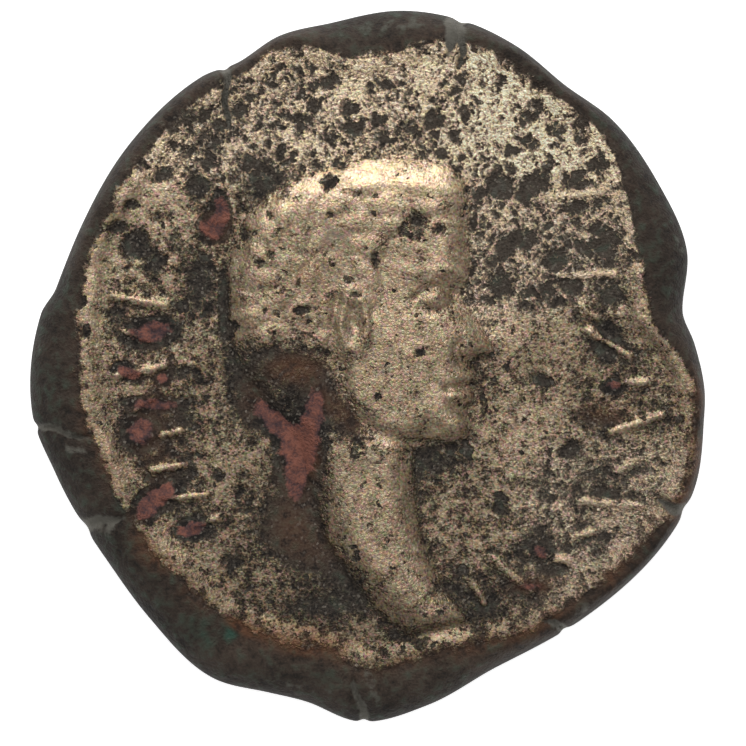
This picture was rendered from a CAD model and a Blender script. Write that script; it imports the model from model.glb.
# An ancient struck bronze coin lying on a white table, seen from straight above.
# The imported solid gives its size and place. One finer surface with its wear and corrosion dresses it.

import bpy
import numpy as np
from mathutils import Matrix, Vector


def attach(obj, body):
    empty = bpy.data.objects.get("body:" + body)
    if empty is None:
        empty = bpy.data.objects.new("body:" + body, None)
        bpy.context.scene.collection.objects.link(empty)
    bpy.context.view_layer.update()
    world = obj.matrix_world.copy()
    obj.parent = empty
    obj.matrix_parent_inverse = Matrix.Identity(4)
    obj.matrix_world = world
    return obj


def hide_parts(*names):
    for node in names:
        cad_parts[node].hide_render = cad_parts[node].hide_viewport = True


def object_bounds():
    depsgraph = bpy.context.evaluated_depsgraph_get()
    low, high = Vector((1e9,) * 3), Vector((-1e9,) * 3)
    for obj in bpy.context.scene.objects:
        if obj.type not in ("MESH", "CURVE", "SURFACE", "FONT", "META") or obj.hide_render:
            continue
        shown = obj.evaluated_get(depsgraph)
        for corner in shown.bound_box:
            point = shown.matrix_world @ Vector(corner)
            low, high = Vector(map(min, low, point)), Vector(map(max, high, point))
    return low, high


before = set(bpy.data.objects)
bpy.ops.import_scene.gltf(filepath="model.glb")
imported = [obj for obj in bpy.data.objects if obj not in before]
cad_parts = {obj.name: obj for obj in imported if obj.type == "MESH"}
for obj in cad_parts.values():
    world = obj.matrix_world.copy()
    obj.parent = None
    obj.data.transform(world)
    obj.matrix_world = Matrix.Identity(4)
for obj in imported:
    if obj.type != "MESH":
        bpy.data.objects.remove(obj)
cadLow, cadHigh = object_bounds()
print("frame loaded: the coin's box is", [round(v * 1000, 2) for v in cadHigh - cadLow], "mm")

metre = 1000.0  # millimetres
insideBox = 0.9998  # the largest share of the solid's box that the surface may take

# the blank: its outline and bevel follow the solid, as [degrees from +X, share]
flan = {
    "radius": 13.3,
    "thickness": 2.55,
    "bellyHeight": 0.95,
    "underBevel": 0.7,
    "bevelWidth": 2.2,
    "crestWidth": 0.35,
    "crestSlope": 0.7,
    "fieldDepth": 0.18,
    "edge": [
        [-4, 1.0], [4, 0.97], [10, 0.947], [20, 1.006], [32, 1.017], [45, 1.028],
        [55, 1.017], [65, 1.045], [75, 1.062], [85, 1.057], [96, 1.023], [105, 1.013],
        [113, 0.979], [120, 0.989], [137, 0.966], [153, 0.946], [166, 0.953], [171, 0.982],
        [188, 1.005], [199, 0.979], [216, 0.964], [229, 0.988], [243, 1.032], [253, 1.011],
        [260, 1.012], [269, 1.054], [280, 1.02], [293, 0.97], [310, 0.982], [331, 1.027],
        [340, 1.033], [350, 1.01],
    ],
    "bevel": [
        [-4, 0.18], [8, 0.52], [19, 0.84], [28, 0.68], [42, 0.32], [55, 0.16],
        [72, 0.27], [87, 0.75], [94, 0.64], [101, 0.23], [110, 0.15], [122, 0.25],
        [140, 0.3], [158, 0.27], [176, 0.82], [189, 0.95], [203, 0.82], [215, 0.75],
        [242, 1.0], [255, 0.91], [267, 1.0], [280, 0.82], [297, 0.34], [310, 0.25],
        [325, 0.15], [340, 0.2],
    ],
}

# the hidden face
reverse = {
    "borderWidth": 1.1,
    "fieldDepth": 0.22,
    "wreathRadius": 8.6,
    "pairs": 13,
    "leafLength": 3.0,
    "leafWidth": 1.05,
    "leafSpread": 28,  # degrees
    "leafSink": 0.05,
    "leafGap": 0.75,  # from the ring to each leaf's middle, in leaf widths
    "bevelSweep": 74,  # degrees of the lower bevel's quarter circle, up to the belly's strip
    # how bare the metal lies, in the terms of the dictionary wear
    "wear": {"field": -0.35, "leaves": 0.9, "border": 0.6, "uneven": 0.4, "bevel": -2.2},
    "tone": 0.8,
    "net": 0.2,
}

# the head, in shares of its height from the chin's level and the face's upright line
head = {
    "height": 11.2,
    "faceLineX": 4.05,
    "chinLevelY": -3.1,
    "relief": 0.6,
    "round": 1.4,  # how far in from its outline the relief keeps rising
    "settle": 0.45,  # how far in the features reach full strength
    "wear": 0.6,  # share of the features that wear has left
    "outline": [
        [0.0, 0.745], [0.008, 0.64], [0.004, 0.585], [-0.02, 0.53], [0.024, 0.45],
        [0.072, 0.365], [0.078, 0.325], [0.014, 0.288], [0.026, 0.245], [0.026, 0.222],
        [0.006, 0.203], [0.02, 0.18], [0.014, 0.148], [-0.014, 0.118], [0.004, 0.075],
        [-0.008, 0.03], [-0.065, 0.0], [-0.125, 0.005], [-0.175, -0.02], [-0.19, -0.1],
        [-0.185, -0.22], [-0.155, -0.36], [-0.085, -0.5], [0.01, -0.62], [-0.02, -0.7],
        [-0.17, -0.695], [-0.32, -0.6], [-0.44, -0.46], [-0.53, -0.3], [-0.57, -0.13],
        [-0.62, 0.04], [-0.73, 0.15], [-0.83, 0.3], [-0.865, 0.5], [-0.85, 0.67],
        [-0.79, 0.81], [-0.67, 0.925], [-0.5, 0.99], [-0.33, 1.02], [-0.16, 1.015],
        [-0.04, 0.965], [0.0, 0.86],
    ],
    # width, depth as a share of the relief, points
    "carved": {
        "hairline": [0.022, 0.25, [
            [0.0, 0.79], [-0.12, 0.8], [-0.24, 0.75], [-0.3, 0.64], [-0.305, 0.53], [-0.345, 0.46],
        ]],
        "hairBehindEar": [0.022, 0.25, [
            [-0.47, 0.5], [-0.49, 0.38], [-0.53, 0.26], [-0.6, 0.16], [-0.66, 0.08],
        ]],
        "jaw": [0.03, 0.5, [[-0.46, 0.28], [-0.44, 0.15], [-0.36, 0.06], [-0.25, 0.015], [-0.14, -0.01]]],
        "mouth": [0.014, 0.5, [[0.01, 0.203], [-0.03, 0.206], [-0.085, 0.198]]],
        "wing": [0.013, 0.4, [[-0.002, 0.3], [-0.04, 0.3], [-0.055, 0.335], [-0.04, 0.36]]],
        "upperLid": [0.012, 0.4, [[-0.065, 0.53], [-0.12, 0.555], [-0.2, 0.515]]],
        "lowerLid": [0.012, 0.3, [[-0.07, 0.492], [-0.125, 0.468], [-0.18, 0.488]]],
        "neckFold": [0.04, 0.15, [[-0.36, -0.1], [-0.33, -0.25], [-0.16, -0.55]]],
    },
    # x, y, half lengths along x and y, rise as a share of the relief
    "swells": {
        "cheek": [-0.2, 0.34, 0.11, 0.12, 0.22],
        "jawAngle": [-0.34, 0.2, 0.1, 0.09, 0.12],
        "brow": [-0.1, 0.605, 0.12, 0.03, 0.25],
        "eyeHollow": [-0.1, 0.515, 0.1, 0.055, -0.45],
        "eyeBall": [-0.125, 0.513, 0.05, 0.034, 0.5],
        "noseWing": [-0.015, 0.33, 0.03, 0.028, 0.25],
        "upperLip": [-0.02, 0.23, 0.05, 0.016, 0.2],
        "lowerLip": [-0.03, 0.17, 0.045, 0.016, 0.2],
        "chin": [-0.05, 0.07, 0.05, 0.045, 0.2],
        "temple": [-0.25, 0.58, 0.05, 0.08, -0.15],
    },
    "ear": {
        "x": -0.41,
        "y": 0.43,
        "halfWidth": 0.045,
        "halfHeight": 0.09,
        "rim": 0.02,
        "rise": 0.3,
        "hollow": 0.4,
    },
    "hair": {
        "crownX": -0.56,
        "crownY": 0.66,
        "rowLength": 0.13,
        "lockWidth": 0.1,
        "curl": 0.6,
        "rise": 0.2,
    },
}

# the worn legend: shallow strokes that spell nothing, as [lean from the radius, share of length]
legend = {
    "length": 2.6,
    "width": 0.34,
    "rise": 0.15,
    "inset": 2.35,
    "rows": [
        [164, 224, [
            [6, 0.9], [-14, 0.5], [10, 0.85], [24, 0.45], [-4, 0.9], [-18, 0.6], [-30, 0.75], [-22, 0.5],
        ]],
        [40, -64, [
            [-34, 1.0], [-48, 0.6], [-20, 0.95], [-52, 0.4], [-36, 0.85], [4, 0.5], [30, 0.95],
            [46, 0.5], [24, 1.0], [50, 0.4], [36, 0.75], [14, 0.9], [4, 0.6],
        ]],
    ],
}

# the dark rim: its least width, how much thinner it is at the right, its shade at the belly
darkRim = {"width": 0.75, "thinner": 0.35, "bellyTone": 0.5}

# splits in the edge: degrees where each opens, degrees that it runs in, length, mouth
splits = {
    "depth": 0.3,
    "notch": 0.1,
    "leastHalf": 0.09,  # half the width that stays at a split's inner end
    "sway": 0.08,
    "lines": [
        [75, 270, 2.4, 0.5], [115.5, 272, 2.8, 0.26], [190, -14, 2.6, 0.22], [209.5, 15, 1.9, 0.7],
        [269.5, 105, 2.1, 0.3], [307, 157, 1.2, 0.3], [335.5, 160, 1.5, 0.6],
    ],
}

# where corrosion has taken the metal, as [x, y, half lengths, turn in degrees, strength]
corroded = [
    [-6.5, 9.2, 2.3, 1.1, 35, 0.75], [-4.2, 7.5, 1.2, 1.0, 0, 1.0], [-3.2, 11.0, 2.2, 0.9, 10, 0.3],
    [0.9, 11.1, 0.9, 0.35, 0, 0.6], [1.6, 9.2, 2.0, 0.6, 0, 0.6], [3.6, 10.7, 0.6, 0.35, 0, 0.6],
    [5.1, 7.1, 0.9, 0.8, 0, 0.5], [6.5, 6.1, 1.7, 0.9, 0, 0.25], [7.1, 4.6, 1.5, 1.0, 20, 0.3],
    [5.2, 3.5, 0.9, 0.7, 0, 0.3], [8.3, 7.2, 0.5, 0.5, 0, 0.7], [9.6, 4.3, 0.6, 0.7, -30, 0.6],
    [10.1, 2.7, 0.6, 0.3, 20, 0.6], [6.9, 2.7, 0.8, 0.4, 0, 0.5], [9.3, 0.9, 0.5, 0.6, 0, 0.9],
    [9.0, -2.1, 1.1, 0.35, 0, 0.8], [8.9, -4.5, 1.3, 1.0, 0, 0.5], [7.1, -4.8, 0.5, 0.5, 0, 0.5],
    [6.8, -7.0, 0.8, 0.8, 0, 0.8], [8.9, -6.9, 0.5, 0.4, 0, 0.6], [3.1, -6.9, 1.3, 1.8, 0, 0.05],
    [2.9, -8.9, 0.6, 0.5, 0, 0.5], [2.3, -3.7, 1.3, 0.7, 0, 0.9], [-3.4, 0.1, 2.0, 0.9, 0, 1.5],
    [-4.6, -1.4, 0.8, 1.1, 0, 1.4], [-2.4, -1.2, 1.3, 1.0, 0, 1.3], [-1.2, -1.9, 1.7, 0.65, -42, 1.5],
    [-2.5, -4.2, 0.9, 1.2, 0, 1.3], [-2.9, -5.9, 1.2, 1.9, 0, 1.4], [-1.9, -7.6, 2.3, 0.8, -36, 1.1],
    [1.9, 5.5, 0.35, 0.6, 0, 1.4], [2.8, 5.4, 0.3, 0.25, 0, 1.3], [-8.0, 5.9, 0.5, 0.4, 20, 0.5],
    [-8.4, 4.1, 0.4, 0.7, 0, 1.0], [-7.6, 5.0, 0.35, 0.3, 0, 0.9], [-9.9, 2.0, 0.4, 0.3, 0, 0.8],
    [-1.7, -9.4, 1.3, 0.4, 0, 0.9], [-6.6, 3.2, 0.6, 1.3, 0, 1.1],
    [-6.7, 7.0, 0.4, 0.7, 0, 0.9], [-9.2, 4.7, 0.5, 0.4, 0, 0.8], [-8.6, 1.2, 1.0, 0.6, 0, 1.0],
    [-7.4, -0.3, 0.9, 0.3, 0, 0.8], [-7.4, -2.2, 0.6, 1.1, 0, 0.8], [-8.8, -2.6, 1.0, 0.9, 0, 0.9],
    [-7.4, -4.2, 0.7, 0.7, 0, 0.8], [-8.1, -5.2, 0.9, 0.6, 0, 0.9], [-6.8, -6.3, 0.8, 0.6, 0, 0.9],
    [-5.4, -7.7, 0.4, 0.4, 0, 0.9], [-4.9, -5.2, 0.5, 1.1, 0, 0.5], [4.9, -4.0, 0.3, 1.2, 0, 0.2],
]
# rounded holes with steeper walls, in the same terms
holes = [
    [-3.88, 5.91, 0.14, 0.14, 0, 1.2], [-4.82, 5.16, 0.2, 0.35, 0, 1.0], [-2.58, 2.2, 0.35, 0.15, 0, 1.2],
    [-0.49, 2.8, 0.3, 0.13, 0, 1.0], [0.3, 4.17, 0.16, 0.35, 15, 1.0], [-0.41, 6.73, 0.16, 0.13, 0, 1.1],
    [-3.84, 4.37, 0.16, 0.14, 0, 1.1], [-1.1, 7.85, 0.35, 0.15, 0, 1.1], [-1.5, 5.95, 0.15, 0.13, 0, 1.1],
    [-9.85, 5.47, 0.4, 0.3, 0, 1.0], [-9.1, 4.75, 0.5, 0.65, -20, 0.9], [-9.25, 6.35, 0.28, 0.22, 0, 1.0],
    [-8.0, 7.5, 0.5, 0.28, 20, 0.9], [-6.6, 7.1, 0.5, 0.3, 0, 0.9], [-5.65, 2.4, 0.22, 1.4, 0, 0.9],
    [5.2, 7.05, 0.55, 0.5, 0, 1.0], [6.6, 7.25, 0.65, 0.38, 10, 1.0], [9.15, 4.95, 0.6, 0.55, 30, 1.0],
    [7.95, 3.2, 0.5, 0.4, -20, 1.0], [9.55, 2.8, 0.5, 0.35, 25, 1.0], [9.35, 1.0, 0.5, 0.75, 0, 0.9],
    [7.4, 4.2, 0.55, 0.38, 20, 1.0], [5.8, 4.95, 0.85, 0.42, 12, 1.0], [5.2, 3.2, 0.5, 0.5, 0, 1.0],
    [6.4, 8.7, 0.42, 0.3, -10, 1.0], [9.15, 7.9, 0.36, 0.34, 0, 1.0], [10.1, 7.1, 0.28, 0.3, 0, 1.0],
    [8.4, 9.0, 0.35, 0.33, 0, 1.0], [7.4, 9.3, 0.36, 0.3, 15, 1.0], [6.3, 9.75, 0.45, 0.25, -10, 1.0],
    [2.1, 12.4, 0.28, 0.26, 0, 0.9], [4.2, 12.35, 0.2, 0.2, 0, 0.9], [8.2, 6.2, 0.45, 0.3, 40, 1.0],
    [-7.3, 9.7, 0.6, 0.25, 35, 0.9], [-2.5, 9.6, 0.45, 0.3, 0, 0.9], [-0.6, 9.3, 0.35, 0.35, 0, 0.9],
    [2.6, 9.7, 0.4, 0.3, 20, 0.9], [-1.6, 11.1, 0.4, 0.25, 10, 0.9], [6.7, -0.5, 0.4, 0.3, 0, 0.9],
    [7.9, -3.3, 0.5, 0.3, 20, 0.9], [9.3, -5.1, 0.6, 0.35, -15, 0.9], [5.2, -5.6, 0.3, 0.25, 0, 0.9],
    [7.4, -8.0, 0.5, 0.3, 20, 0.9], [4.6, -9.3, 0.35, 0.3, 0, 0.9],
]
# where wear keeps the metal open and bright
polished = [
    [-3.4, 6.1, 0.9, 0.6, 0, 0.5], [0.0, 7.5, 1.0, 0.6, 0, 0.5], [2.9, 7.3, 0.9, 0.5, 0, 0.4],
    [5.5, 11.4, 1.7, 0.75, -25, 0.7], [4.4, 12.1, 0.6, 0.3, 0, 0.5], [2.4, 11.9, 0.5, 0.5, 0, 0.5],
    [7.3, 10.3, 0.5, 0.5, 0, 0.5], [-0.7, 10.7, 0.7, 0.4, 0, 0.5], [6.6, 8.7, 0.6, 0.6, 0, 0.5],
    [-8.0, 6.8, 0.9, 1.4, 0, 0.4], [-10.9, 3.2, 0.5, 2.4, 0, 0.4], [5.1, 1.6, 1.3, 0.8, 0, 0.6],
    [6.0, -2.8, 1.6, 2.4, 0, 0.35], [-4.8, 4.4, 0.5, 0.8, 0, 0.3], [10.8, 4.2, 0.3, 1.6, 10, 0.5],
]
# copper-red oxide, then brown stains, grey crusts and green spots, all in the same terms
reddened = [
    [-3.7, -2.15, 1.15, 0.42, -45, 1.1], [-2.15, -1.9, 1.1, 0.42, 80, 1.1], [-2.65, -3.2, 1.1, 0.78, 80, 1.1],
    [-2.8, -4.4, 0.9, 0.38, 88, 1.1], [-8.5, 1.35, 0.9, 0.42, 10, 1.0], [-9.4, -0.25, 0.5, 0.27, -20, 1.0],
    [-8.05, -0.5, 0.26, 0.24, 0, 0.9], [-8.4, -1.5, 0.95, 0.25, -3, 1.0], [-8.95, -2.6, 0.55, 0.6, 0, 1.0],
    [-8.2, -5.1, 0.8, 0.4, 25, 1.0], [-8.7, -5.7, 0.5, 0.36, 25, 0.8], [-6.9, -6.4, 0.55, 0.32, 10, 1.0],
    [-6.1, 5.4, 0.5, 0.46, -30, 1.0], [-5.75, 6.1, 0.3, 0.6, 10, 1.0], [6.8, -7.3, 0.45, 0.26, -25, 0.8],
    [6.4, -8.65, 0.6, 0.18, 0, 0.8], [9.6, -0.8, 0.4, 0.24, 0, 0.7],
]
stained = [
    [-2.3, -3.4, 0.45, 0.9, 10, 0.7], [-2.3, -10.6, 2.2, 0.45, -10, 0.5], [-8.6, -7.3, 0.9, 0.5, -48, 0.5],
    [-2.9, -0.1, 1.2, 0.6, 0, 0.75], [-1.2, -1.7, 1.5, 0.5, -42, 0.5], [-4.6, -1.3, 0.6, 0.9, 0, 0.3],
    [9.3, -1.8, 1.0, 0.5, 0, 0.5], [-2.6, -6.9, 1.6, 0.9, -30, 0.35], [-2.9, -5.2, 0.9, 1.6, 0, 0.3],
    [-8.4, -2.5, 1.0, 3.0, 0, 0.3], [6.6, -8.6, 1.0, 0.4, 0, 0.6], [-2.3, 3.4, 0.6, 0.8, 0, 0.4],
    [-5.9, 5.5, 0.7, 0.8, 0, 0.4], [-5.0, -10.2, 0.7, 0.2, -30, 1.0],
]
crusted = [
    [3.25, 13.0, 0.27, 0.9, 0, 1.2], [-1.3, 5.1, 0.8, 0.7, 0, 0.42],
    [5.1, 7.05, 0.42, 0.36, 0, 0.45], [-10.6, -6.2, 0.9, 0.3, -20, 0.7], [-11.4, -3.3, 0.9, 0.2, -15, 0.6],
    [-2.6, -12.6, 1.6, 0.15, -12, 0.4], [0.1, -12.4, 0.2, 0.9, 20, 0.5], [6.4, 12.9, 1.2, 0.2, -28, 0.6],
    [12.3, 4.6, 0.15, 1.0, 12, 0.3], [1.2, 13.4, 1.6, 0.25, 5, 0.35], [8.4, -9.6, 0.7, 0.2, 40, 0.6],
]
greened = [
    [-5.4, -10.5, 0.35, 0.2, -20, 1.0], [-9.5, -5.0, 0.7, 0.5, 0, 0.3], [-6.5, -10.4, 0.9, 0.5, -35, 0.35],
    [7.6, -9.3, 0.5, 0.25, 30, 0.4], [-1.5, -12.2, 0.8, 0.3, 0, 0.25],
]

# how much height corrosion takes and its crust gives, in millimetres
corrosion = {"grain": 0.018, "bevelGrain": 0.06, "lost": 0.05, "holed": 0.07}

# how bare the metal lies, in shares that are added up: near 1 is all metal, below 0 is all crust
wear = {
    "field": 0.77,
    "right": -0.07,
    "low": -0.25,
    "head": 0.44,
    "crest": 0.35,
    "rightTop": -1.0,
    "top": -0.8,
    "rightLow": -0.5,
    "besideHead": -0.35,
    "underRed": -1.3,
    "polished": 0.8,
    "corroded": -1.25,
    "holed": -1.5,
    "besideStrokes": -1.05,
    "strokes": 1.3,
    "outside": -1.6,
}

# how light metal and crust are, in shares that are added up and that their colour is multiplied by
toning = {
    "field": 0.76,
    "right": -0.04,
    "leftTop": 0.11,
    "polished": 0.34,
    "uneven": 0.08,
    "head": 0.91,
    "hairTop": 0.52,
    "top": 1.05,
    "rightTop": 0.75,
    "rightLow": 0.12,
    "nape": -0.1,
    "strokes": 0.22,
    "low": -0.2,
    "leftLow": -0.1,
    "rim": 1.03,
    "rimBottom": 0.55,
    "rimTop": 0.25,
}


# A closed cubic through [degrees, value] nodes, whose slope at each node comes from its neighbours.
def roundTheFlan(nodes, degrees):
    angle, value = np.array(nodes, float).T
    angle = np.concatenate([angle[-2:] - 360, angle, angle[:3] + 360])
    value = np.concatenate([value[-2:], value, value[:3]])
    slope = np.zeros_like(value)
    slope[1:-1] = (value[2:] - value[:-2]) / (angle[2:] - angle[:-2])
    turned = (degrees - angle[2]) % 360 + angle[2]
    i = np.searchsorted(angle, turned, side="right") - 1
    span = angle[i + 1] - angle[i]
    t = (turned - angle[i]) / span
    a, b, start, end = value[i], value[i + 1], slope[i] * span, slope[i + 1] * span
    return a + start * t + (3 * (b - a) - 2 * start - end) * t**2 + (2 * (a - b) + start + end) * t**3


def edgeRadius(degrees):
    return flan["radius"] * roundTheFlan(flan["edge"], degrees)


def faceRadius(degrees):
    return edgeRadius(degrees) - flan["bevelWidth"] * roundTheFlan(flan["bevel"], degrees)


def smoothStep(low, high, value):
    t = np.clip((value - low) / (high - low), 0, 1)
    return t * t * (3 - 2 * t)


# A smooth line through points, four pieces between each two.
def throughPoints(points, closed=False, pieces=4):
    p = np.array(points, float)
    if closed:
        p = np.concatenate([p[-1:], p, p[:2]])
    else:
        p = np.concatenate([2 * p[:1] - p[1:2], p, 2 * p[-1:] - p[-2:-1]])
    t = (np.arange(pieces) / pieces)[None, :, None]
    a, b, c, d = (p[k:len(p) - 3 + k, None, :] for k in range(4))
    line = 0.5 * (2 * b + (c - a) * t + (2 * a - 5 * b + 4 * c - d) * t**2 + (3 * b - a - 3 * c + d) * t**3)
    line = line.reshape(-1, 2)
    return line if closed else np.concatenate([line, p[-2:-1]])


# Closest distance from each point to a run of segments.
def distanceTo(x, y, line, closed=False):
    ends = np.roll(line, -1, axis=0) if closed else line[1:]
    starts = line if closed else line[:-1]
    nearest = np.full(x.shape, np.inf)
    for (ax, ay), (bx, by) in zip(starts, ends):
        dx, dy = bx - ax, by - ay
        t = np.clip(((x - ax) * dx + (y - ay) * dy) / (dx * dx + dy * dy), 0, 1)
        nearest = np.minimum(nearest, np.hypot(x - ax - t * dx, y - ay - t * dy))
    return nearest


def isInside(x, y, loop):
    inside = np.zeros(x.shape, bool)
    for (ax, ay), (bx, by) in zip(loop, np.roll(loop, -1, axis=0)):
        crosses = (ay > y) != (by > y)
        inside ^= crosses & (x < ax + (y - ay) / ((by - ay) or 1.0) * (bx - ax))
    return inside


# Random heights on a square lattice, blended smoothly between its points. A coarse and a finer
# lattice, turned apart, are added up, so that neither's rows show.
def softNoise(x, y, size, seed):
    lattice = np.random.default_rng(seed).uniform(-1, 1, (64, 64))
    total = np.zeros(x.shape)
    for share, step, turn in ((0.8, size, seed), (0.4, size * 0.55, seed + 1)):
        u, v = (x * np.cos(turn) - y * np.sin(turn)) / step, (x * np.sin(turn) + y * np.cos(turn)) / step
        i, j = np.floor(u).astype(int), np.floor(v).astype(int)
        s, t = smoothStep(0, 1, u - i), smoothStep(0, 1, v - j)
        corner = [lattice[(i + a) % 64, (j + b) % 64] for a, b in ((0, 0), (1, 0), (0, 1), (1, 1))]
        near, far = corner[0] * (1 - s) + corner[1] * s, corner[2] * (1 - s) + corner[3] * s
        total += share * (near * (1 - t) + far * t)
    return total


# The sum of round patches, each a bell whose edge is as steep as wished.
def patches(x, y, spots, steep=1.5):
    total = np.zeros(x.shape)
    for cx, cy, rx, ry, turn, strength in spots:
        c, s = np.cos(np.radians(turn)), np.sin(np.radians(turn))
        along, across = (x - cx) * c + (y - cy) * s, (y - cy) * c - (x - cx) * s
        total += strength * np.exp(-((along / rx) ** 2 + (across / ry) ** 2) ** steep)
    return total


# The head's rise above the field in shares of the relief, and how far inside its outline each
# point lies. A rounded shoulder rises from the outline. Swells, carved lines, the ear's ring and
# combed locks are added to it.
def headRise(xMm, yMm):
    x, y = (xMm - head["faceLineX"]) / head["height"], (yMm - head["chinLevelY"]) / head["height"]
    loop = throughPoints(head["outline"], closed=True)
    inwards = distanceTo(x, y, loop, closed=True) * np.where(isInside(x, y, loop), 1, -1) * head["height"]
    reach = inwards / head["round"]
    lines = {name: throughPoints(points) for name, (_, _, points) in head["carved"].items()}
    features = np.zeros(x.shape)
    for name, (width, depth, _) in head["carved"].items():
        features -= depth * np.exp(-((distanceTo(x, y, lines[name]) / width) ** 2))
    for cx, cy, rx, ry, lift in head["swells"].values():
        features += lift * np.exp(-(((x - cx) / rx) ** 2) - ((y - cy) / ry) ** 2)
    ear = head["ear"]
    out = np.hypot((x - ear["x"]) / ear["halfWidth"], (y - ear["y"]) / ear["halfHeight"])
    features += ear["rise"] * np.exp(-(((out - 1) * ear["halfWidth"] / ear["rim"]) ** 2))
    features -= ear["hollow"] * np.maximum(0, 1 - out)
    hair = head["hair"]
    hairEdge = np.concatenate([lines["hairline"], lines["hairBehindEar"], [[-1, 0], [-1, 1.1], [0.1, 1.1]]])
    rows = np.hypot(y - hair["crownY"], x - hair["crownX"]) / hair["rowLength"]
    row, along = np.floor(rows), rows - np.floor(rows)
    count = np.round(2 * np.pi * (row + 0.6) * hair["rowLength"] / hair["lockWidth"])
    turn = np.arctan2(y - hair["crownY"], x - hair["crownX"]) + hair["curl"] * along / (row + 1)
    locks = np.abs(np.cos(count * turn / 2 + row)) * np.sin(np.pi * along**0.7) - 0.5
    features += np.where(isInside(x, y, hairEdge), hair["rise"] * locks, 0)
    settled = np.clip(inwards / head["settle"], 0, 1)
    rise = 1 - (1 - np.clip(reach, 0, 1)) ** 2 + head["wear"] * settled * features
    return np.where(reach > 0, rise, 0), inwards


# The strokes' ridges, from 0 to 1: a soft bar along each stroke.
def legendRidges(x, y):
    ridges = np.zeros(x.shape)
    for start, end, strokes in legend["rows"]:
        for i, (lean, share) in enumerate(strokes):
            degrees = start + (end - start) * i / (len(strokes) - 1)
            middle = faceRadius(np.array(float(degrees))) - legend["inset"]
            a, b = np.radians(degrees), np.radians(degrees + lean)
            centre = middle * np.array([np.cos(a), np.sin(a)])
            half = (legend["length"] * share - legend["width"]) / 2 * np.array([np.cos(b), np.sin(b)])
            away = distanceTo(x, y, np.array([centre - half, centre + half]))
            ridges = np.maximum(ridges, np.exp(-((away / (legend["width"] * 0.5)) ** 2)))
    return ridges


# How deep in a split each point lies, from 0 to 1: a wedge that narrows inwards.
def splitDepth(x, y):
    deep = np.zeros(x.shape)
    for opens, runs, length, mouth in splits["lines"]:
        a, b = np.radians(opens), np.radians(runs)
        radius = edgeRadius(np.array(float(opens)))
        dx, dy = x - radius * np.cos(a), y - radius * np.sin(a)
        along, across = dx * np.cos(b) + dy * np.sin(b), dy * np.cos(b) - dx * np.sin(b)
        bent = across + splits["sway"] * np.sin(along * 4 + opens)
        half = mouth / 2 * np.clip(1 - along / length, 0, None) + splits["leastHalf"]
        inLength = smoothStep(length, length * 0.7, along) * (along > -1.5)
        deep = np.maximum(deep, inLength * np.exp(-((bent / half) ** 2) * 1.5))
    return deep


# Where a split reaches the belly, the outline steps in.
def openSplits(x, y, deep, reach):
    pull = 1 - splits["notch"] / flan["radius"] * deep * smoothStep(0.9, 1, reach)
    return x * pull, y * pull


# A square grid bent into a disc: each square ring of the grid becomes a circle.
def discGrid(count):
    side = np.linspace(-1, 1, count + 1)
    u, v = np.meshgrid(side, side)
    wide = np.abs(u) > np.abs(v)
    reach = np.where(wide, u, v)
    safe = np.where(reach == 0, 1, reach)
    angle = np.where(wide, np.pi / 4 * v / safe, np.pi / 2 - np.pi / 4 * u / safe)
    angle = np.where(reach < 0, angle + np.pi, angle)
    corner = np.arange((count + 1) ** 2).reshape(count + 1, count + 1)
    quads = np.stack([corner[:-1, :-1], corner[:-1, 1:], corner[1:, 1:], corner[1:, :-1]], -1).reshape(-1, 4)
    rim = np.concatenate([corner[:-1, -1], corner[-1, :0:-1], corner[:0:-1, 0], corner[0, :-1]])
    return np.abs(reach).ravel(), angle.ravel(), quads, rim


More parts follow.
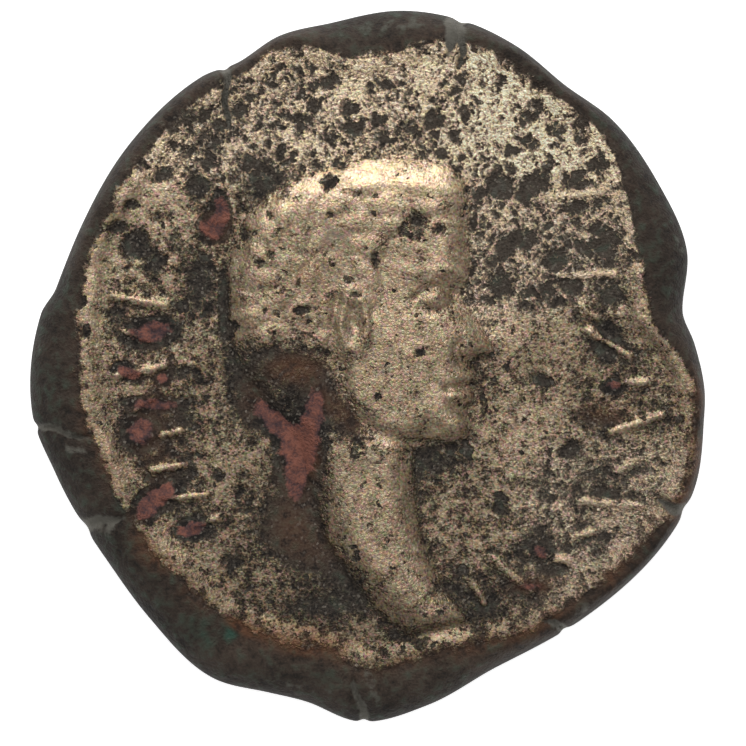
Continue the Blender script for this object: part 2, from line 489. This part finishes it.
# What lies on the upper surface, in eight values for each point that the material reads. The
# lengths in and across are distances inwards from the face's, the flan's and the head's outlines.
def obverseFields(x, y, reach, inFace, inEdge, inHead, ridges, lost, holed, deep):
    red = patches(x, y, reddened)
    kept = patches(x, y, polished)

    # the dark rim's ragged inner line, and the face inside it
    thin = np.maximum(smoothStep(11.0, 12.5, x), smoothStep(-1, -4, x) * smoothStep(6, 8, y))
    thin -= 0.7 * smoothStep(2, -2, x) * smoothStep(-2, -6, y)
    ragged = np.minimum(inFace, inEdge - darkRim["width"] + darkRim["thinner"] * thin)
    ragged += 0.22 * softNoise(x, y, 1.3, 21) + 0.14 * softNoise(x, y, 0.4, 22)
    onRim = smoothStep(0.2, -0.2, ragged)
    inside = smoothStep(-0.3, 0.25, ragged)

    # the face's zones, each of which fades in over a few millimetres
    onHead = smoothStep(-0.1, 0.4, inHead)
    right = smoothStep(1.0, 4.5, x)
    low = smoothStep(-7, -10, y)
    top = smoothStep(6.4, 8.2, y) * (1 - onHead)
    drift = softNoise(x, y, 1.4, 27)
    rightTop = smoothStep(2.2, 4.8, x + drift) * smoothStep(0.9, 3.9, y - 0.25 * (x - 6) + 1.6 * drift)
    rightTop *= 1 - onHead
    rightLow = smoothStep(5.0, 7.5, x) * smoothStep(-2.0, -4.5, y)
    besideStrokes = np.clip(ridges**0.12 - ridges, 0, 1) * (0.8 + 0.6 * softNoise(x, y, 1.0, 25))

    shares = {
        "right": right,
        "low": low,
        "head": onHead,
        "crest": np.exp(-(((inFace - 0.45) / 0.5) ** 2)),
        "rightTop": rightTop,
        "top": top * (1 - rightTop),
        "rightLow": rightLow,
        "besideHead": np.exp(-((inHead / 0.4) ** 2)) * (inHead < 0.2),
        "underRed": smoothStep(0.0, 0.14, red),
        "polished": kept,
        "corroded": np.clip(lost, 0, 1.25),
        "holed": holed * (1 - ridges),
        "besideStrokes": besideStrokes,
    }
    bare = wear["field"] + sum(wear[name] * share for name, share in shares.items())
    bare += ridges * np.clip(wear["strokes"] - bare, 0, 2)
    bare = bare * inside + wear["outside"] * (1 - inside)

    tone = toning["field"] + toning["right"] * right + toning["polished"] * kept
    tone += toning["leftTop"] * smoothStep(-2, 3, y) * (1 - right)
    tone += toning["uneven"] * softNoise(x, y, 1.7, 23)
    tone += onHead * (toning["head"] + toning["hairTop"] * smoothStep(5.2, 7.4, y) - tone)
    tone += toning["top"] * top + toning["rightTop"] * rightTop + toning["rightLow"] * rightLow
    tone += toning["nape"] * onHead * smoothStep(0.5, -1.5, x) * smoothStep(6.5, 5, y)
    tone += toning["strokes"] * ridges + toning["low"] * low
    tone += toning["leftLow"] * smoothStep(-1, -5, y) * (1 - right)
    rimTone = toning["rim"] + toning["rimBottom"] * smoothStep(-9.5, -12, y)
    rimTone += toning["rimTop"] * smoothStep(10, 12, y)
    rimTone += (darkRim["bellyTone"] - rimTone) * smoothStep(0.92, 1.0, reach)
    tone += onRim * (rimTone - tone)

    # a brown line along the rim's inner side, strongest below
    stainLine = np.exp(-(((ragged - 0.05) / 0.35) ** 2)) * (0.12 + 0.4 * smoothStep(3, -5, y))
    stainLine *= 1 + softNoise(x, y, 1.1, 24)
    return {
        "bare": bare,
        "tone": tone,
        "red": red - 0.45,
        "rust": np.clip(patches(x, y, stained) + stainLine, 0, 1),
        "mineral": np.clip(np.maximum(1.2 * deep, patches(x, y, crusted)), 0, 1),
        "green": patches(x, y, greened),
        "net": np.clip(rightTop + 0.8 * top + 0.6 * rightLow, 0, 1) * (inFace > 0.2),
        "edge": onRim,
    }


# The upper surface out to the belly. The inner rings carry the struck face and the outer ones
# go down the bevel as a quarter of an ellipse.
def obverseSurface(count, faceShare=0.9):
    reach, angle, quads, rim = discGrid(count)
    degrees = np.degrees(angle)
    edge, face = edgeRadius(degrees), faceRadius(degrees)
    down = np.clip((reach - faceShare) / (1 - faceShare), 0, 1) * np.pi / 2
    radius = np.where(reach < faceShare, face * reach / faceShare, face + (edge - face) * np.sin(down))
    x, y = radius * np.cos(angle), radius * np.sin(angle)
    inFace = face - radius

    rise, inHead = headRise(x, y)
    room = np.clip(inFace - flan["crestWidth"] - flan["crestSlope"], 0, None)
    rise = np.minimum(rise * head["relief"], room)
    ridges = legendRidges(x, y) * smoothStep(0.3, 0.9, inFace) * smoothStep(0.3, -0.3, inHead)
    ridges *= np.clip(0.85 + 0.5 * softNoise(x, y, 0.7, 26), 0.3, 1)
    onBevel = flan["bellyHeight"] + (flan["thickness"] - flan["bellyHeight"]) * np.cos(down)
    bowl = smoothStep(flan["crestWidth"], flan["crestWidth"] + flan["crestSlope"], inFace)
    z = np.where(reach < faceShare, flan["thickness"] - flan["fieldDepth"] * bowl, onBevel)
    z += rise + ridges * legend["rise"]

    lost = patches(x, y, corroded, steep=1.1)
    holed = patches(x, y, holes, steep=2.5)
    deep = splitDepth(x, y)
    onSlope = smoothStep(0.1, -0.3, inFace) * smoothStep(1.0, 0.97, reach)
    crust = softNoise(x, y, 0.9, 3) * 0.6 + softNoise(x, y, 0.4, 4) * 0.4
    z += (corrosion["grain"] + corrosion["bevelGrain"] * onSlope) * crust
    eaten = corrosion["lost"] * np.clip(lost, 0, 1.2) + corrosion["holed"] * holed
    z -= eaten * smoothStep(0.2, 0.9, inFace)
    z -= splits["depth"] * deep * smoothStep(1.0, 0.94, reach)

    fields = obverseFields(x, y, reach, inFace, edge - radius, inHead, ridges, lost, holed, deep)
    x, y = openSplits(x, y, deep, reach)
    return np.stack([x, y, z], 1), fields, quads, rim


# The hidden face, from just under the belly to its middle: a worn border, a shallow field and a
# wreath of leaf pairs, each leaf half a flattened ball.
def reverseSurface(count, borderShare=0.88):
    reach, angle, quads, rim = discGrid(count)
    foot = edgeRadius(np.degrees(angle)) - flan["underBevel"]
    up = np.clip((reach - borderShare) / (1 - borderShare), 0, 1) * np.radians(reverse["bevelSweep"])
    radius = np.where(reach < borderShare, foot * reach / borderShare, foot + flan["underBevel"] * np.sin(up))
    x, y = radius * np.cos(angle), radius * np.sin(angle)
    inBorder = foot - radius
    field = smoothStep(reverse["borderWidth"], reverse["borderWidth"] + reverse["fieldDepth"], inBorder)
    z = reverse["fieldDepth"] * field + flan["bellyHeight"] * (1 - np.cos(up)) * (reach > borderShare)
    leaves = np.zeros(x.shape)
    for turn in np.arange(reverse["pairs"]) * 360 / reverse["pairs"]:
        for side in (-1, 1):
            t, s = np.radians(turn), np.radians(side * reverse["leafSpread"])
            px, py = x * np.cos(t) + y * np.sin(t), y * np.cos(t) - x * np.sin(t)
            px = px - reverse["wreathRadius"] - side * reverse["leafWidth"] * reverse["leafGap"]
            across, along = px * np.cos(s) + py * np.sin(s), py * np.cos(s) - px * np.sin(s)
            ball = 1 - (across / (reverse["leafWidth"] / 2)) ** 2 - (along / (reverse["leafLength"] / 2)) ** 2
            leaves = np.maximum(leaves, np.sqrt(np.clip(ball, 0, 1)))
    z -= (reverse["fieldDepth"] - reverse["leafSink"]) * leaves * field
    z += 0.02 * (softNoise(x, y, 0.9, 13) + 1) * field + 0.03 * softNoise(x, y, 0.5, 14) * (up > 0.2)
    z = np.maximum(z, 0)

    deep = splitDepth(x, y)
    belly = smoothStep(0.3, 1.2, up)
    worn = reverse["wear"]
    bare = worn["field"] + worn["leaves"] * leaves * field + worn["border"] * (1 - field)
    bare += worn["uneven"] * softNoise(x, y, 2.4, 15) + worn["bevel"] * (up > 0)
    fields = {
        "bare": bare,
        "tone": reverse["tone"] + (darkRim["bellyTone"] - reverse["tone"]) * belly,
        "red": 1.5 * softNoise(x, y, 1.9, 16) - 1.0 - belly,
        "rust": np.clip(softNoise(x, y, 2.2, 17) - 0.3, 0, 1) * (1 - belly),
        "mineral": 0.6 * deep * smoothStep(0.9, 1, reach),
        "green": np.clip(softNoise(x, y, 1.5, 18) - 0.6, 0, 1) * (1 - belly),
        "net": np.full(x.shape, reverse["net"]),
        "edge": smoothStep(0.1, -0.2, inBorder),
    }
    x, y = openSplits(x, y, deep, reach)
    return np.stack([x, y, z], 1), fields, quads[:, ::-1], rim


# Both faces joined by a strip round the belly, where two steps of the upper face meet one below.
def coinMesh(upperCount=256, lowerCount=128):
    upper, upperFields, upperQuads, upperRim = obverseSurface(upperCount)
    lower, lowerFields, lowerQuads, lowerRim = reverseSurface(lowerCount)
    print("surfaces worked out:", len(upper), "points above and", len(lower), "below")
    lowerRim = lowerRim + len(upper)
    a, b, c = upperRim[0::2], upperRim[1::2], np.roll(upperRim[0::2], -1)
    d, e = lowerRim, np.roll(lowerRim, -1)
    strip = np.concatenate([np.stack(t, 1) for t in ((a, d, b), (b, d, e), (b, e, c))])
    points = np.concatenate([upper, lower])
    low, high = points[:, :2].min(0), points[:, :2].max(0)
    room = np.array(cadHigh - cadLow)[:2] * metre / (high - low)
    points[:, :2] = (points[:, :2] - (low + high) / 2) * np.minimum(room * insideBox, 1)

    quads = np.concatenate([upperQuads, lowerQuads + len(upper)])
    corners = np.concatenate([quads.ravel(), strip.ravel()])
    sizes = np.concatenate([np.full(len(quads), 4), np.full(len(strip), 3)])
    mesh = bpy.data.meshes.new("coinSurface")
    mesh.vertices.add(len(points))
    mesh.loops.add(len(corners))
    mesh.polygons.add(len(sizes))
    mesh.vertices.foreach_set("co", (points / metre).ravel())
    mesh.loops.foreach_set("vertex_index", corners)
    mesh.polygons.foreach_set("loop_start", np.concatenate([[0], np.cumsum(sizes)[:-1]]))
    mesh.polygons.foreach_set("use_smooth", np.ones(len(sizes), bool))
    mesh.update()
    mesh.validate()
    for name in upperFields:
        layer = mesh.attributes.new(name, "FLOAT", "POINT")
        layer.data.foreach_set("value", np.concatenate([upperFields[name], lowerFields[name]]))
    print("mesh made:", len(mesh.polygons), "faces")
    return mesh


def linear(hexColour):
    value = np.array([int(hexColour[k:k + 2], 16) for k in (1, 3, 5)]) / 255
    return (*np.where(value <= 0.04045, value / 12.92, ((value + 0.055) / 1.055) ** 2.4), 1.0)


# Adds a node. Its inputs are a list in the sockets' order or a dictionary by name or number, and
# another node in it means that node's first live output.
def addNode(tree, kind, inputs=(), **settings):
    node = tree.nodes.new("ShaderNode" + kind)
    for name, value in settings.items():
        setattr(node, name, value)
    for key, value in inputs.items() if isinstance(inputs, dict) else enumerate(inputs):
        if isinstance(value, bpy.types.Node):
            value = next(socket for socket in value.outputs if socket.enabled)
        if isinstance(value, bpy.types.NodeSocket):
            tree.links.new(value, node.inputs[key])
        else:
            node.inputs[key].default_value = value
    return node


# Struck leaded bronze, corroded in the ground: bare and granular where wear has opened it,
# elsewhere under a dull near-black oxide, with copper-red oxide and grey mineral in places.
def corrodedBronze():
    paint = {name: linear(code) for name, code in {
        "bronzeLight": "#d0b797",
        "bronzeDark": "#5f5242",
        "glintWhite": "#fff0dc",
        "oxideDark": "#1a1613",
        "oxideLight": "#51483f",
        "oxideGlint": "#857d72",
        "rimDark": "#1d1915",
        "rimLight": "#493d34",
        "cupriteRed": "#7c4f42",
        "cupritePurple": "#4b393c",
        "rustBrown": "#6b452e",
        "mineralGrey": "#625f57",
        "verdigris": "#2e4b3f",
    }.items()}
    # grains and flakes are drawn coarser than the metal's own crystals, so that the picture holds them
    sizeMm = {
        "speck": 0.4,
        "grain": 0.1,
        "flake": 0.085,
        "pit": 0.42,
        "widePit": 0.95,
        "blotch": 1.6,
        "net": 0.7,
        "wideNet": 1.5,
        "seam": 0.17,
        "relief": 0.06,
    }
    # settings that repeat: two colours mixed, one colour times another, a product plus a third value
    blend = {"data_type": "RGBA"}
    times = {"data_type": "RGBA", "blend_type": "MULTIPLY"}
    timesPlus = {"operation": "MULTIPLY_ADD"}

    material = bpy.data.materials.new("corrodedBronze")
    material.use_nodes = True
    tree = material.node_tree
    tree.nodes.clear()
    place = addNode(tree, "TexCoord").outputs["Object"]
    mm = addNode(tree, "Mapping", {"Vector": place, "Scale": (metre,) * 3})
    fields = {name: addNode(tree, "Attribute", attribute_name=name).outputs["Fac"]
              for name in ("bare", "tone", "red", "rust", "mineral", "green", "net", "edge")}

    # noises of specks, grains and blotches, and flakes that each have a chance of their own
    speck, grain, blotch = (
        addNode(tree, "TexNoise", {
            "Vector": mm, "Scale": 1 / sizeMm[name], "Detail": detail, "Roughness": rough,
        })
        for name, detail, rough in (("speck", 3.0, 0.5), ("grain", 2.0, 0.6), ("blotch", 5.0, 0.6)))
    flake = addNode(tree, "TexVoronoi", {"Vector": mm, "Scale": 1 / sizeMm["flake"]}).outputs["Color"]
    speckled = addNode(tree, "MapRange", [speck, 0.35, 0.65, -1.0, 1.0], clamp=False)
    grained = addNode(tree, "MapRange", [grain, 0.3, 0.7, -1.0, 1.0], clamp=False)
    blotched = addNode(tree, "MapRange", [blotch, 0.3, 0.7, -1.0, 1.0], clamp=False)
    glinting = addNode(tree, "MapRange", [flake, 0.76, 0.95])
    bent = addNode(tree, "VectorMath", [speck.outputs["Color"], (0.8, 0.8, 0.8), mm], **timesPlus)

    # a broken net of thin ridges, left where the ground between them has corroded away
    nearMm, wideMm = (
        addNode(tree, "Math", [
            addNode(tree, "TexVoronoi", {"Vector": bent, "Scale": 1 / size}, feature="DISTANCE_TO_EDGE"),
            size,
        ], operation="MULTIPLY")
        for size in (sizeMm["net"], sizeMm["wideNet"]))
    seam = addNode(tree, "Math", [nearMm, wideMm], operation="MINIMUM")
    netted = addNode(tree, "MapRange", [seam, 0.0, sizeMm["seam"], 1.6, -0.25])
    netted = addNode(tree, "Math", [netted, fields["net"]], operation="MULTIPLY")

    # round pits: each cell of a pattern may hold one, as big as its chance allows
    pitted = 0.0
    for size, least in ((sizeMm["pit"], 0.52), (sizeMm["widePit"], 0.55)):
        cell = addNode(tree, "TexVoronoi", {"Vector": bent, "Scale": 1 / size})
        reach = addNode(tree, "MapRange", [cell.outputs["Color"], least, 1.0, 0.0, 0.5])
        inside = addNode(tree, "Math", [reach, cell], operation="SUBTRACT")
        pitted = addNode(tree, "Math", [addNode(tree, "MapRange", [inside, 0.0, 0.12]), pitted])

    # how much bare metal shows: the surface's own field, broken up by ridges, specks, grains and pits
    metal = addNode(tree, "Math", [netted, fields["bare"]])
    metal = addNode(tree, "Math", [blotched, 0.3, metal], **timesPlus)
    metal = addNode(tree, "Math", [speckled, 0.42, metal], **timesPlus)
    metal = addNode(tree, "Math", [grained, 0.2, metal], **timesPlus)
    exposure = addNode(tree, "Math", [pitted, -1.25, metal], **timesPlus)
    shows = addNode(tree, "MapRange", [exposure, -0.3, 0.6])

    # bare bronze: dull where little of it shows, bright in its own grains and where the tone is high
    lively = addNode(tree, "MapRange", [fields["net"], 0.0, 1.0, 0.5, 1.3])
    opened = addNode(tree, "Math", [grained, lively, exposure], **timesPlus)
    worn = addNode(tree, "MapRange", [opened, -0.1, 2.0])
    bronze = addNode(tree, "Mix", {0: worn, 6: paint["bronzeDark"], 7: paint["bronzeLight"]}, **blend)
    mottle = addNode(tree, "Math", [blotched, 0.08, fields["tone"]], **timesPlus)
    toned = addNode(tree, "Mix", {0: 1.0, 6: bronze, 7: mottle}, **times)
    flecked = addNode(tree, "Mix", {0: 0.18, 6: toned, 7: flake}, data_type="RGBA", blend_type="OVERLAY")
    gleam = addNode(tree, "MapRange", [mottle, 0.6, 1.6, 0.1, 1.0])
    bright = addNode(tree, "Math", [glinting, gleam], operation="MULTIPLY")
    bright = addNode(tree, "Math", [fields["net"], 0.14, bright], use_clamp=True, **timesPlus)
    openMetal = addNode(tree, "Mix", {0: bright, 6: flecked, 7: paint["glintWhite"]}, **blend)

    # black oxide with pinpoints, darkest in a ring round each red patch
    skirt = addNode(tree, "MapRange", [fields["red"], -0.4, -0.1, 0.0, -1.3])
    patched = addNode(tree, "Math", [skirt, speckled])
    patched = addNode(tree, "Math", [fields["net"], 1.6, patched], **timesPlus)
    patched = addNode(tree, "Math", [grained, 1.2, patched], **timesPlus)
    dusty = addNode(tree, "MapRange", [patched, -1.6, 2.0])
    oxide = addNode(tree, "Mix", {0: dusty, 6: paint["oxideDark"], 7: paint["oxideLight"]}, **blend)
    sparse = addNode(tree, "Math", [glinting, 0.75], operation="MULTIPLY")
    pinpoints = addNode(tree, "Mix", {0: sparse, 6: oxide, 7: paint["oxideGlint"]}, **blend)

    # the rim's own crust, and brown stains and green spots over both
    patchy = addNode(tree, "Math", [speckled, 0.7, blotched], **timesPlus)
    powdery = addNode(tree, "Math", [grained, 0.4, patchy], **timesPlus)
    cloudy = addNode(tree, "MapRange", [powdery, -1.8, 2.0])
    rimHue = addNode(tree, "Mix", {0: cloudy, 6: paint["rimDark"], 7: paint["rimLight"]}, **blend)
    rimCrust = addNode(tree, "Mix", {0: 1.0, 6: rimHue, 7: fields["tone"]}, **times)
    crusts = addNode(tree, "Mix", {0: fields["edge"], 6: pinpoints, 7: rimCrust}, **blend)
    streaks = addNode(tree, "MapRange", [speckled, -1.0, 0.6, 0.2, 1.0])
    streaky = addNode(tree, "Math", [fields["rust"], streaks], operation="MULTIPLY")
    rusted = addNode(tree, "Mix", {0: streaky, 6: crusts, 7: paint["rustBrown"]}, **blend)
    mossy = addNode(tree, "Math", [speckled, 0.3, fields["green"]], use_clamp=True, **timesPlus)
    ground = addNode(tree, "Mix", {0: mossy, 6: rusted, 7: paint["verdigris"]}, **blend)
    tinted = addNode(tree, "Math", [streaky, 0.7], operation="MULTIPLY")
    browned = addNode(tree, "Mix", {0: tinted, 6: openMetal, 7: paint["rustBrown"]}, **blend)
    face = addNode(tree, "Mix", {0: shows, 6: ground, 7: browned}, **blend)

    # copper-red oxide and grey mineral lie over all of it
    raggedRed = addNode(tree, "Math", [speckled, 0.25, fields["red"]], **timesPlus)
    redness = addNode(tree, "MapRange", [raggedRed, -0.05, 0.25])
    orange = addNode(tree, "Math", [fields["rust"], 1.2, patchy], **timesPlus)
    orange = addNode(tree, "Math", [fields["red"], 1.3, orange], **timesPlus)
    orange = addNode(tree, "Math", [grained, 0.8, orange], **timesPlus)
    hue = addNode(tree, "MapRange", [orange, -0.6, 2.0])
    cuprite = addNode(tree, "Mix", {0: hue, 6: paint["cupritePurple"], 7: paint["cupriteRed"]}, **blend)
    shade = addNode(tree, "MapRange", [powdery, -1.5, 1.5, 0.75, 1.3])
    redOxide = addNode(tree, "Mix", {0: 1.0, 6: cuprite, 7: shade}, **times)
    redFace = addNode(tree, "Mix", {0: redness, 6: face, 7: redOxide}, **blend)
    broken = addNode(tree, "Math", [speckled, 0.25, fields["mineral"]], **timesPlus)
    greyness = addNode(tree, "MapRange", [broken, 0.3, 0.8])
    colour = addNode(tree, "Mix", {0: greyness, 6: redFace, 7: paint["mineralGrey"]}, **blend)

    # grains, pits and the net in relief, and lumps on the rim's and the red crust
    covered = addNode(tree, "Math", [redness, greyness])
    metalShare = addNode(tree, "Math", [shows, covered], operation="SUBTRACT", use_clamp=True)
    standing = addNode(tree, "MapRange", [exposure, -0.6, 0.7, 0.0, 1.1])
    pocked = addNode(tree, "Math", [pitted, -0.3, standing], **timesPlus)
    grit = addNode(tree, "MapRange", [fields["net"], 0.0, 1.0, 0.13, 0.45])
    gritty = addNode(tree, "Math", [grained, grit, pocked], **timesPlus)
    crusty = addNode(tree, "Math", [redness, 0.7, fields["edge"]], **timesPlus)
    lumps = addNode(tree, "Math", [speckled, crusty], operation="MULTIPLY")
    height = addNode(tree, "Math", [lumps, 0.3, gritty], **timesPlus)
    bump = addNode(tree, "Bump", {"Strength": 1.0, "Distance": sizeMm["relief"] / metre, "Height": height})
    shader = addNode(tree, "BsdfPrincipled", {
        "Base Color": colour,
        "Normal": bump,
        "Specular IOR Level": 0.25,
        "Metallic": addNode(tree, "MapRange", [metalShare, 0.0, 1.0, 0.0, 0.85]),
        "Roughness": addNode(tree, "MapRange", [metalShare, 0.0, 1.0, 0.72, 0.38]),
    })
    addNode(tree, "OutputMaterial", {"Surface": shader})
    return material


mesh = coinMesh()
coin = bpy.data.objects.new("coinSurface", mesh)
bpy.context.scene.collection.objects.link(coin)
mesh.materials.append(corrodedBronze())
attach(coin, "root")
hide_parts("coin")
print("coin dressed")

# the photograph's framing, from its own pixels
photo = {"pixels": 746, "coinTop": 11, "coinBottom": 721, "coinLeft": 31, "coinRight": 704}


def studio():
    look = {"tableSize": 3.0, "tableGlow": 0.8, "cameraHeight": 0.35, "world": 0.32}
    # a large softbox beyond the top of the picture and a weaker one overhead
    lamps = {
        "softbox": {"place": (-0.05, 0.42, 0.42), "size": 0.5, "watts": 2.4},
        "overhead": {"place": (0.0, 0.0, 0.8), "size": 0.5, "watts": 0.5},
    }
    table = bpy.data.meshes.new("table")
    half = look["tableSize"] / 2
    corners = [(-half, -half, 0), (half, -half, 0), (half, half, 0), (-half, half, 0)]
    table.from_pydata(corners, [], [(0, 1, 2, 3)])
    # acrylic lit from below: plain white all over, so that only the coin's outline stands out
    white = bpy.data.materials.new("whiteLitAcrylic")
    white.use_nodes = True
    shader = white.node_tree.nodes["Principled BSDF"]
    shader.inputs["Base Color"].default_value = (0.9, 0.9, 0.9, 1)
    shader.inputs["Roughness"].default_value = 0.8
    shader.inputs["Emission Color"].default_value = (1, 1, 1, 1)
    shader.inputs["Emission Strength"].default_value = look["tableGlow"]
    table.materials.append(white)
    floor = bpy.data.objects.new("table", table)
    bpy.context.scene.collection.objects.link(floor)

    world = bpy.data.worlds.new("studio")
    bpy.context.scene.world = world
    world.use_nodes = True
    background = world.node_tree.nodes["Background"]
    background.inputs["Color"].default_value = (1, 1, 1, 1)
    background.inputs["Strength"].default_value = look["world"]

    for name, lamp in lamps.items():
        light = bpy.data.lights.new(name, "AREA")
        light.shape = "SQUARE"
        light.size = lamp["size"]
        light.energy = lamp["watts"]
        lit = bpy.data.objects.new(name, light)
        lit.location = lamp["place"]
        lit.rotation_mode = "QUATERNION"
        lit.rotation_quaternion = (-Vector(lamp["place"])).to_track_quat("-Z", "Y")
        bpy.context.scene.collection.objects.link(lit)

    # straight above, with the coin where the photograph has it
    pixelsPerMetre = (photo["coinBottom"] - photo["coinTop"] + 1) / (cadHigh.y - cadLow.y)
    data = bpy.data.cameras.new("camera")
    camera = bpy.data.objects.new("camera", data)
    bpy.context.scene.collection.objects.link(camera)
    centre = photo["pixels"] / 2
    camera.location = (
        (centre - (photo["coinLeft"] + photo["coinRight"]) / 2) / pixelsPerMetre,
        ((photo["coinTop"] + photo["coinBottom"]) / 2 - centre) / pixelsPerMetre,
        look["cameraHeight"],
    )
    away = look["cameraHeight"] - flan["bellyHeight"] / metre
    data.lens = data.sensor_width * away * pixelsPerMetre / photo["pixels"]
    data.clip_start, data.clip_end = 0.01, 10
    bpy.context.scene.camera = camera
    bpy.context.scene.view_settings.view_transform = "Standard"


studio()
print("studio set")
